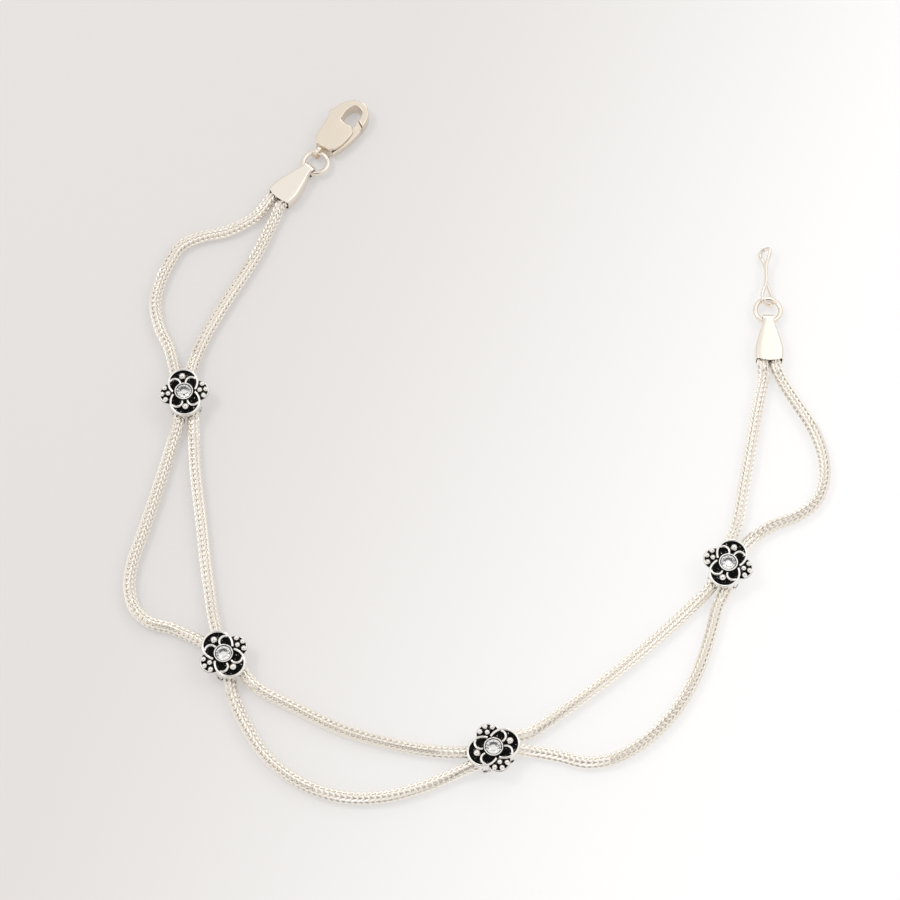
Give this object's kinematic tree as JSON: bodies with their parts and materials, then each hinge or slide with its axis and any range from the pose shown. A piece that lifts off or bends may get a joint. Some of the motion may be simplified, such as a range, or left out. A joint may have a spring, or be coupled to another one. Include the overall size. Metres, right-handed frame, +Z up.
{
  "type": "anklet",
  "caption": "Payal anklet, laid open: foxtail chain strands side by side through flower sliders set with clear stones, with flat end caps, a lobster clasp and a figure-eight link.",
  "frame": {"origin": "middle of the laid-open anklet's base, on the table top", "axes": "+X towards the end with the figure-eight link, +Y away from the closed bottom of the laid-open loop, towards the open ends, +Z up from the table"},
  "size_m": [0.1132, 0.1254, 0.004],
  "materials": {
    "silver": "polished silver, blackened in the recesses of the sliders",
    "chain_silver": "polished silver wire, darker between the links",
    "clear_stone": "clear faceted stone"
  },
  "bodies": {
    "anklet": {"outer_strand": "chain_silver", "inner_strand": "chain_silver", "slider_1": "silver", "slider_2": "silver", "slider_3": "silver", "slider_4": "silver", "stone_1": "clear_stone", "stone_2": "clear_stone", "stone_3": "clear_stone", "stone_4": "clear_stone", "end_cap_1": "silver", "end_cap_2": "silver", "jump_ring_1": "silver", "jump_ring_2": "silver", "clasp_body": "silver", "figure_eight": "silver"},
    "lever": {"clasp_lever": "silver"}
  },
  "joints": [
    {"name": "lever_hinge", "type": "hinge", "parent": "anklet", "child": "lever", "pos_m": [-0.02367, 0.0545, 0.0012], "axis": [0, 0, 1], "range_deg": [0, 25], "stiffness_Nm_per_rad": 0.002, "springref_deg": -8.59}
  ]
}
